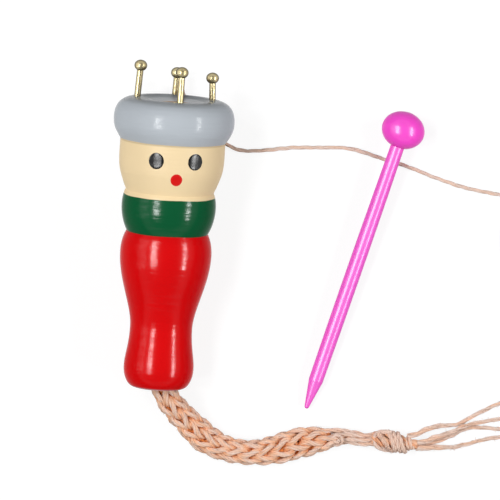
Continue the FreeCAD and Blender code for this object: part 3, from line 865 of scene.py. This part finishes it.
class Nodes:
    """A material with a Principled shader, and short calls that add and join its nodes."""

    def __init__(self, name):
        self.material = bpy.data.materials.new(name)
        self.material.use_nodes = True
        self.tree = self.material.node_tree
        self.shader = self.tree.nodes["Principled BSDF"]

    @classmethod
    def on_tree(cls, tree):
        """The same short calls on a tree that has no Principled shader."""
        nodes = cls.__new__(cls)
        nodes.tree = tree
        return nodes

    def give(self, socket, value):
        """A socket gets a number or a colour, or is joined to another socket."""
        if isinstance(value, bpy.types.NodeSocket):
            self.tree.links.new(value, socket)
        else:
            socket.default_value = value

    def add(self, kind, **settings):
        """A node with its properties set by name, and its inputs set by a dictionary named inputs."""
        node = self.tree.nodes.new(kind)
        for key, value in settings.pop("inputs", {}).items():
            self.give(node.inputs[key], value)
        for key, value in settings.items():
            setattr(node, key, value)
        return node

    def set(self, **values):
        """The shader's own inputs, with spaces as underscores: a number, a colour, or a socket to join."""
        for key, value in values.items():
            self.give(self.shader.inputs[key.replace("_", " ")], value)

    def math(self, operation, a, b=0.0):
        return self.add("ShaderNodeMath", operation=operation, inputs={0: a, 1: b}).outputs[0]

    def ramp(self, value, low, high):
        """How far a value has gone from low to high, as 0 to 1."""
        inputs = {"Value": value, "From Min": low, "From Max": high}
        return self.add("ShaderNodeMapRange", inputs=inputs).outputs[0]

    def blend(self, share, first, second):
        """A colour between two others. Each may be a colour or a socket."""
        node = self.add("ShaderNodeMix", data_type="RGBA")
        for number, value in {0: share, 6: first, 7: second}.items():
            self.give(node.inputs[number], value)
        return node.outputs[2]

    def between(self, share, first, second):
        """A number between two others. Each may be a number or a socket."""
        return self.add("ShaderNodeMix", inputs={0: share, 2: first, 3: second}).outputs[0]

    def noise(self, vector, scale, detail=3.0, roughness=0.5):
        inputs = {"Vector": vector, "Scale": scale, "Detail": detail, "Roughness": roughness}
        return self.add("ShaderNodeTexNoise", inputs=inputs).outputs[0]

    def place(self):
        return self.add("ShaderNodeTexCoord").outputs["Object"]

    def stretched(self, vector, scale):
        """A place with each of its parts scaled, for a pattern that is longer one way than another."""
        return self.add("ShaderNodeMapping", inputs={"Vector": vector, "Scale": scale}).outputs[0]

    def facing(self, front, edge):
        """A number that goes from one value where the surface faces the viewer to another at its outline."""
        turned = self.add("ShaderNodeLayerWeight").outputs["Facing"]
        share = self.ramp(turned, OUTLINE_STARTS, OUTLINE_ENDS)
        return self.between(share, front, edge)

    def bump(self, height, distance, normal=None):
        inputs = {"Height": height, "Distance": distance}
        if normal is not None:
            inputs["Normal"] = normal
        return self.add("ShaderNodeBump", inputs=inputs).outputs[0]


def doll_lengths(nodes, place):
    """How far along the doll and how far out from its axis a place is."""
    base = Vector(BASE_MIDDLE_MM) * MM
    offset = nodes.add("ShaderNodeVectorMath", operation="SUBTRACT", inputs={0: place, 1: base}).outputs[0]
    along = nodes.add("ShaderNodeVectorMath", operation="DOT_PRODUCT", inputs={0: offset, 1: ALONG})
    axis = nodes.add("ShaderNodeVectorMath", operation="SCALE", inputs={0: ALONG, 3: along.outputs[1]})
    out = nodes.add("ShaderNodeVectorMath", operation="DISTANCE", inputs={0: offset, 1: axis.outputs[0]})
    return along.outputs[1], out.outputs[1]


def paint_colour(nodes, place, along, edge, out):
    """Rings of paint along the doll, with painted shade in its creases and on its crest, and a painted pool
    of light in its dish.
    """
    tint = nodes.noise(place, 45, 4, 0.6)
    colour = nodes.blend(tint, linear([c * 0.93 for c in DRESS_RED]), linear(DRESS_RED))
    rings = (
        (DRESS_TO_SCARF, SCARF_GREEN),
        (SCARF_TO_FACE, FACE_CREAM),
        (FACE_TO_HAT, HAT_GREY),
    )
    for height, paint in rings:
        band = nodes.blend(tint, linear([c * 0.965 for c in paint]), linear(paint))
        start = height - 0.06 * MM
        colour = nodes.blend(nodes.ramp(edge, start, start + 0.12 * MM), colour, band)
    # Painted shade: a dark brown band along each turned crease, where shade falls.
    for height in CREASES:
        near = nodes.math("ABSOLUTE", nodes.math("SUBTRACT", along, height))
        shade = nodes.math("MULTIPLY", nodes.ramp(near, 0.55 * MM, 0.0), CREASE_PAINTED_SHADE)
        colour = nodes.blend(shade, colour, linear(PAINTED_SHADE_BROWN))
    # Painted shade: the crest on the hat's top is painted darker, as it lies in shade.
    crest_shade = nodes.ramp(along, CREST_STARTS, CREST_STARTS + 1.5 * MM)
    colour = nodes.blend(nodes.math("MULTIPLY", crest_shade, CREST_PAINTED_SHADE), colour, linear(PAINTED_SHADE_BROWN))
    # Painted light: the dish inside the crest is painted paler, as a pool of light.
    dish_light = nodes.ramp(out, DISH_PAINTED_LIGHT_RADIUS + 1.0 * MM, DISH_PAINTED_LIGHT_RADIUS)
    return nodes.blend(nodes.math("MULTIPLY", dish_light, DISH_PAINTED_LIGHT), colour, linear(HAT_PAINTED_LIGHT))


def wood_bump(nodes, place, grain, bare):
    """Turning marks under the paint, its uneven skin with dust nibs in it, and grain where it is bare."""
    turning = nodes.noise(nodes.stretched(place, (0.10, 1.0, 0.10)), 420, 3, 0.6)
    peel = nodes.noise(place, 300, 2, 0.5)
    specks = nodes.add("ShaderNodeTexVoronoi", inputs={"Vector": place, "Scale": 130.0}).outputs["Distance"]
    nib = nodes.ramp(specks, 0.055, 0.0)
    bump = nodes.bump(turning, 0.20 * MM)
    bump = nodes.bump(peel, 0.014 * MM, normal=bump)
    bump = nodes.bump(nib, 0.02 * MM, normal=bump)
    return nodes.bump(nodes.math("MULTIPLY", grain, bare), 0.1 * MM, normal=bump)


def painted_wood():
    """Gloss paint over turned wood, satin on the face and dull on the hat, and bare wood inside the bore."""
    nodes = Nodes("painted_wood")
    place = nodes.place()
    along, out = doll_lengths(nodes, place)
    wobble = nodes.math("MULTIPLY", nodes.math("SUBTRACT", nodes.noise(place, 90, 1), 0.5), 0.5 * MM)
    edge = nodes.math("ADD", along, wobble)
    grain = nodes.noise(nodes.stretched(place, (9.0, 1.0, 9.0)), 120, 5, 0.6)
    wood = nodes.blend(grain, linear(WOOD_DARK), linear(WOOD_PALE))
    bare = nodes.ramp(out, BARE_WOOD_RADIUS + 0.15 * MM, BARE_WOOD_RADIUS - 0.15 * MM)
    colour = nodes.blend(bare, paint_colour(nodes, place, along, edge, out), wood)
    satin_start = nodes.ramp(edge, SCARF_TO_FACE, SCARF_TO_FACE + 0.2 * MM)
    satin_end = nodes.ramp(edge, FACE_TO_HAT + 0.2 * MM, FACE_TO_HAT)
    satin = nodes.math("MULTIPLY", satin_start, satin_end)
    hat = nodes.ramp(edge, FACE_TO_HAT, FACE_TO_HAT + 0.2 * MM)
    rough = nodes.math("ADD", nodes.math("MULTIPLY", satin, SATIN_ROUGHER), PAINT_ROUGH)
    smear = nodes.math("MULTIPLY", nodes.noise(place, 160, 4, 0.6), SMEAR_ROUGHER)
    rough = nodes.math("ADD", rough, smear)
    rough = nodes.math("ADD", rough, nodes.math("MULTIPLY", bare, BARE_ROUGHER))
    duller = nodes.math("MULTIPLY", satin, SATIN_DULLER)
    duller = nodes.math("ADD", duller, nodes.math("MULTIPLY", hat, HAT_DULLER))
    shine = nodes.math("SUBTRACT", nodes.facing(*PAINT_SHINE), duller)
    nodes.set(Base_Color=colour, Roughness=rough, IOR=1.5)
    nodes.set(Normal=wood_bump(nodes, place, grain, bare))
    nodes.set(Specular_IOR_Level=nodes.math("MAXIMUM", shine, LEAST_SHINE))
    return nodes.material


def brass():
    """Drawn and upset brass, polished, with a dull bloom in places and a painted dark rim at its outline
    that stands in for dark reflections.
    """
    nodes = Nodes("brass")
    place = nodes.place()
    bloom = nodes.ramp(nodes.noise(place, 700, 4, 0.6), 0.40, 0.75)
    colour = nodes.blend(bloom, linear(BRASS), linear(BRASS_DULL))
    # Painted reflection: the brass darkens towards its outline, standing in for dark reflections there.
    turned = nodes.add("ShaderNodeLayerWeight").outputs["Facing"]
    colour = nodes.blend(nodes.ramp(turned, 0.08, 0.60), colour, linear(BRASS_PAINTED_DARK_RIM))
    drawn = nodes.noise(nodes.stretched(place, (1.0, 0.06, 1.0)), 3000, 2, 0.6)
    bump = nodes.bump(drawn, 0.0002 * MM)
    rough = nodes.math("ADD", nodes.math("MULTIPLY", bloom, BLOOM_ROUGHER), BRASS_ROUGH)
    nodes.set(Base_Color=colour, Metallic=0.85, Roughness=rough, Normal=bump)
    return nodes.material


def pick_plastic(name, pale, deep, roughness, shine):
    """Moulded plastic with faint flow marks and handling scratches."""
    nodes = Nodes(name)
    place = nodes.place()
    flow = nodes.noise(place, 60, 4, 0.6)
    colour = nodes.blend(flow, linear(deep), linear(pale))
    scratches = nodes.noise(nodes.stretched(place, (6.0, 0.5, 6.0)), 900, 3, 0.7)
    rough = nodes.math("ADD", nodes.math("MULTIPLY", scratches, 0.08), roughness)
    bump = nodes.bump(nodes.noise(place, 260, 3), 0.006 * MM)
    bump = nodes.bump(scratches, 0.0008 * MM, normal=bump)
    nodes.set(Base_Color=colour, Roughness=rough, Normal=bump, IOR=1.70)
    nodes.set(Specular_IOR_Level=nodes.facing(shine, PLASTIC_EDGE_SHINE))
    nodes.set(Subsurface_Weight=0.08, Subsurface_Radius=(1.0, 0.4, 0.7), Subsurface_Scale=0.9 * MM)
    return nodes.material


def cotton():
    """Soft plied cotton: fine fibres wound along each strand, and painted shade in warmer and deeper peach
    where strands lie inside.
    """
    nodes = Nodes("cotton_yarn")
    uv = nodes.add("ShaderNodeTexCoord").outputs["UV"]
    parts = nodes.add("ShaderNodeSeparateXYZ", inputs={"Vector": uv})
    along, round_it = parts.outputs[0], parts.outputs[1]
    turns = nodes.math("ADD", round_it, nodes.math("MULTIPLY", along, 0.16))
    angle = nodes.math("MULTIPLY", turns, 2 * math.pi)
    vector = nodes.add(
        "ShaderNodeCombineXYZ",
        inputs={
            "X": nodes.math("MULTIPLY", along, 0.22),
            "Y": nodes.math("COSINE", angle),
            "Z": nodes.math("SINE", angle),
        },
    ).outputs[0]
    fibres = nodes.noise(vector, 3.2, 3, 0.65)
    place = nodes.place()
    mottle = nodes.noise(place, 420, 3, 0.6)
    pale = nodes.blend(nodes.ramp(fibres, 0.34, 0.66), linear(COTTON_PEACH), linear(COTTON_PALE))
    patches = nodes.math("MULTIPLY", nodes.ramp(mottle, 0.45, 0.75), 0.35)
    pale = nodes.blend(patches, pale, linear(COTTON_PEACH))
    # Painted shade: the shade amount on each piece turns the cotton warmer and then deep ochre where strands
    # lie in shade inside.
    inside = nodes.add("ShaderNodeAttribute", attribute_name="painted_shade").outputs["Fac"]
    colour = nodes.blend(nodes.ramp(inside, 0.10, 0.50), pale, linear(COTTON_HALF_SHADE))
    colour = nodes.blend(nodes.ramp(inside, 0.45, 1.0), colour, linear(COTTON_FULL_SHADE))
    bump = nodes.bump(fibres, 0.10 * MM)
    bump = nodes.bump(nodes.noise(place, 2600, 2), 0.03 * MM, normal=bump)
    nodes.set(Base_Color=colour, Roughness=0.88, Normal=bump, Specular_IOR_Level=0.25)
    nodes.set(Sheen_Weight=0.25, Sheen_Roughness=0.5, Sheen_Tint=linear(COTTON_PALE))
    return nodes.material


def enamel(name, paint, roughness):
    """A dab of thick enamel with a slightly uneven surface."""
    nodes = Nodes(name)
    place = nodes.place()
    tint = nodes.noise(place, 600, 3)
    colour = nodes.blend(tint, linear([c * 0.85 for c in paint]), linear(paint))
    smear = nodes.math("ADD", nodes.math("MULTIPLY", nodes.noise(place, 900, 3), 0.06), roughness)
    bump = nodes.bump(nodes.noise(place, 400, 2), 0.004 * MM)
    nodes.set(Base_Color=colour, Roughness=smear, Normal=bump)
    return nodes.material


# The face


def on_skin(turn, along):
    """Where a line towards the doll's axis meets its painted skin, and which way the skin faces there."""
    outward = RIGHT * math.sin(turn) + FRONT * math.cos(turn)
    start = on_doll(0, 0, along) + outward * SKIN_SEARCH
    found, hit, normal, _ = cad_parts["spool_body"].ray_cast(start, -outward)
    if not found:
        raise ValueError("the face has no skin under it")
    return hit, normal


def dot_piece(name, facts, material):
    """A round dab of paint that follows the skin and stands a little proud in its middle."""
    middle_turn = math.radians(facts["turn"])
    skin_radius = (on_skin(middle_turn, facts["along"])[0] - on_doll(0, 0, facts["along"])).length
    points = []
    for ring in range(DOT_RINGS + 1):
        share = ring / DOT_RINGS
        rise = DOT_RISE * math.sqrt(max(0.0, 1 - share**DOT_FLATNESS)) - DOT_RIM_SINK * share
        for spoke in range(DOT_SPOKES if ring else 1):
            angle = 2 * math.pi * spoke / DOT_SPOKES
            reach = facts["radius"] * share
            turn = middle_turn + DOT_WIDTH_SHARE * reach * math.cos(angle) / skin_radius
            hit, normal = on_skin(turn, facts["along"] + reach * math.sin(angle))
            points.append(hit + normal * rise)
    faces = [(0, 1 + k, 1 + (k + 1) % DOT_SPOKES) for k in range(DOT_SPOKES)]
    for ring in range(1, DOT_RINGS):
        inner = 1 + (ring - 1) * DOT_SPOKES
        outer = inner + DOT_SPOKES
        for k in range(DOT_SPOKES):
            n = (k + 1) % DOT_SPOKES
            faces.append((inner + k, outer + k, outer + n, inner + n))
    mesh = bpy.data.meshes.new(name)
    mesh.from_pydata([tuple(p) for p in points], [], faces)
    doll_piece(name, mesh, material)


# The table, the white room and the lamps


def lit_ray_share(nodes):
    """1 for rays that see a surface directly or in a mirror or through glass."""
    path = nodes.add("ShaderNodeLightPath").outputs
    seen = nodes.math("MAXIMUM", path["Is Camera Ray"], path["Is Glossy Ray"])
    return nodes.math("MAXIMUM", seen, path["Is Transmission Ray"])


def add_table():
    """A wide white table that shows a soft shadow of what lies on it."""
    mesh = bpy.data.meshes.new("table")
    corners = [(TABLE_HALF * x, TABLE_HALF * y, 0) for x, y in ((-1, -1), (1, -1), (1, 1), (-1, 1))]
    mesh.from_pydata(corners, [], [(0, 1, 2, 3)])
    nodes = Nodes("white_table")
    nodes.tree.nodes.remove(nodes.shader)
    bounce = nodes.add("ShaderNodeBsdfDiffuse", inputs={"Color": (*[TABLE_BOUNCE_GREY] * 3, 1)})
    faint = nodes.add("ShaderNodeBsdfDiffuse", inputs={"Color": (*[TABLE_SHOWN_GREY] * 3, 1)})
    glow = nodes.add("ShaderNodeEmission", inputs={"Color": WHITE, "Strength": TABLE_GLOW})
    shown = nodes.add("ShaderNodeAddShader", inputs={0: faint.outputs[0], 1: glow.outputs[0]})
    share = lit_ray_share(nodes)
    mix = nodes.add("ShaderNodeMixShader", inputs={0: share, 1: bounce.outputs[0], 2: shown.outputs[0]})
    output = nodes.tree.nodes["Material Output"]
    nodes.tree.links.new(mix.outputs[0], output.inputs["Surface"])
    mesh.materials.append(nodes.material)
    table = bpy.data.objects.new("table", mesh)
    table.location.z = -TABLE_DROP
    bpy.context.scene.collection.objects.link(table)


def add_world():
    """A white room with a dim ceiling: its walls are seen as white, and light the object less than that."""
    world = bpy.data.worlds.new("world")
    bpy.context.scene.world = world
    world.use_nodes = True
    nodes = Nodes.on_tree(world.node_tree)
    direction = nodes.add("ShaderNodeTexCoord").outputs["Generated"]
    height = nodes.add("ShaderNodeSeparateXYZ", inputs={"Vector": direction}).outputs[2]
    above = nodes.ramp(height, CEILING_STARTS - CEILING_BLEND, CEILING_STARTS + CEILING_BLEND)
    wall = nodes.between(lit_ray_share(nodes), WALL_LIGHT, 1.0)
    strength = nodes.between(above, wall, CEILING_LIGHT)
    background = nodes.tree.nodes["Background"]
    background.inputs["Color"].default_value = WHITE
    nodes.tree.links.new(strength, background.inputs["Strength"])


def add_lamps():
    """Three rows of soft lamps over the table, wide across the doll and short along it."""
    centre = on_doll(0, 0, LAMPS_AIM_ALONG)
    for n, row in enumerate(LAMP_ROWS):
        for k in range(LAMPS_IN_ROW):
            tip = math.radians(LAMP_SHIFT + LAMP_REACH * (2 * k / (LAMPS_IN_ROW - 1) - 1))
            side = math.radians(row["lean"])
            away = Vector((math.sin(side) * math.cos(tip), math.sin(tip), math.cos(side) * math.cos(tip)))
            across = Vector((0, 1, 0)).cross(away).normalized()
            data = bpy.data.lights.new(f"lamp_{n}_{k}", "AREA")
            data.shape = "RECTANGLE"
            data.size = row["across"]
            data.size_y = LAMP_ALONG
            data.energy = row["power"]
            lamp = bpy.data.objects.new(data.name, data)
            lamp.location = centre + away * LAMP_DISTANCE
            lamp.rotation_mode = "QUATERNION"
            facing = Matrix((across, away.cross(across), away)).transposed()
            lamp.rotation_quaternion = facing.to_quaternion()
            bpy.context.scene.collection.objects.link(lamp)


def dress_node(name, material):
    """The CAD node as it is, with a finish of its own."""
    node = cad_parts[name]
    node.data.materials.clear()
    node.data.materials.append(material)


def main():
    bpy.context.scene.view_settings.view_transform = "Standard"
    add_camera()
    yarn = cotton()
    knitted_pieces(yarn)
    for n, (name, route) in enumerate(TAIL_ROUTES.items()):
        tail_piece(name, route, yarn, seed=80 + n)
    supply_piece(yarn)
    dress_node("spool_body", painted_wood())
    nail_brass = brass()
    for name in ("peg_front", "peg_right", "peg_back", "peg_left"):
        dress_node(name, nail_brass)
    dress_node("pick_shaft", pick_plastic("rod_plastic", ROD_PINK, ROD_DEEP, roughness=0.30, shine=1.0))
    dress_node("pick_knob", pick_plastic("knob_plastic", KNOB_PINK, KNOB_DEEP, roughness=0.26, shine=0.7))
    black = enamel("eye_enamel", EYE_BLACK, roughness=0.19)
    dot_piece("eye_left", LEFT_EYE, black)
    dot_piece("eye_right", RIGHT_EYE, black)
    dot_piece("mouth_dot", RED_DOT, enamel("dot_enamel", DOT_RED, roughness=0.30))
    add_table()
    add_world()
    add_lamps()


main()
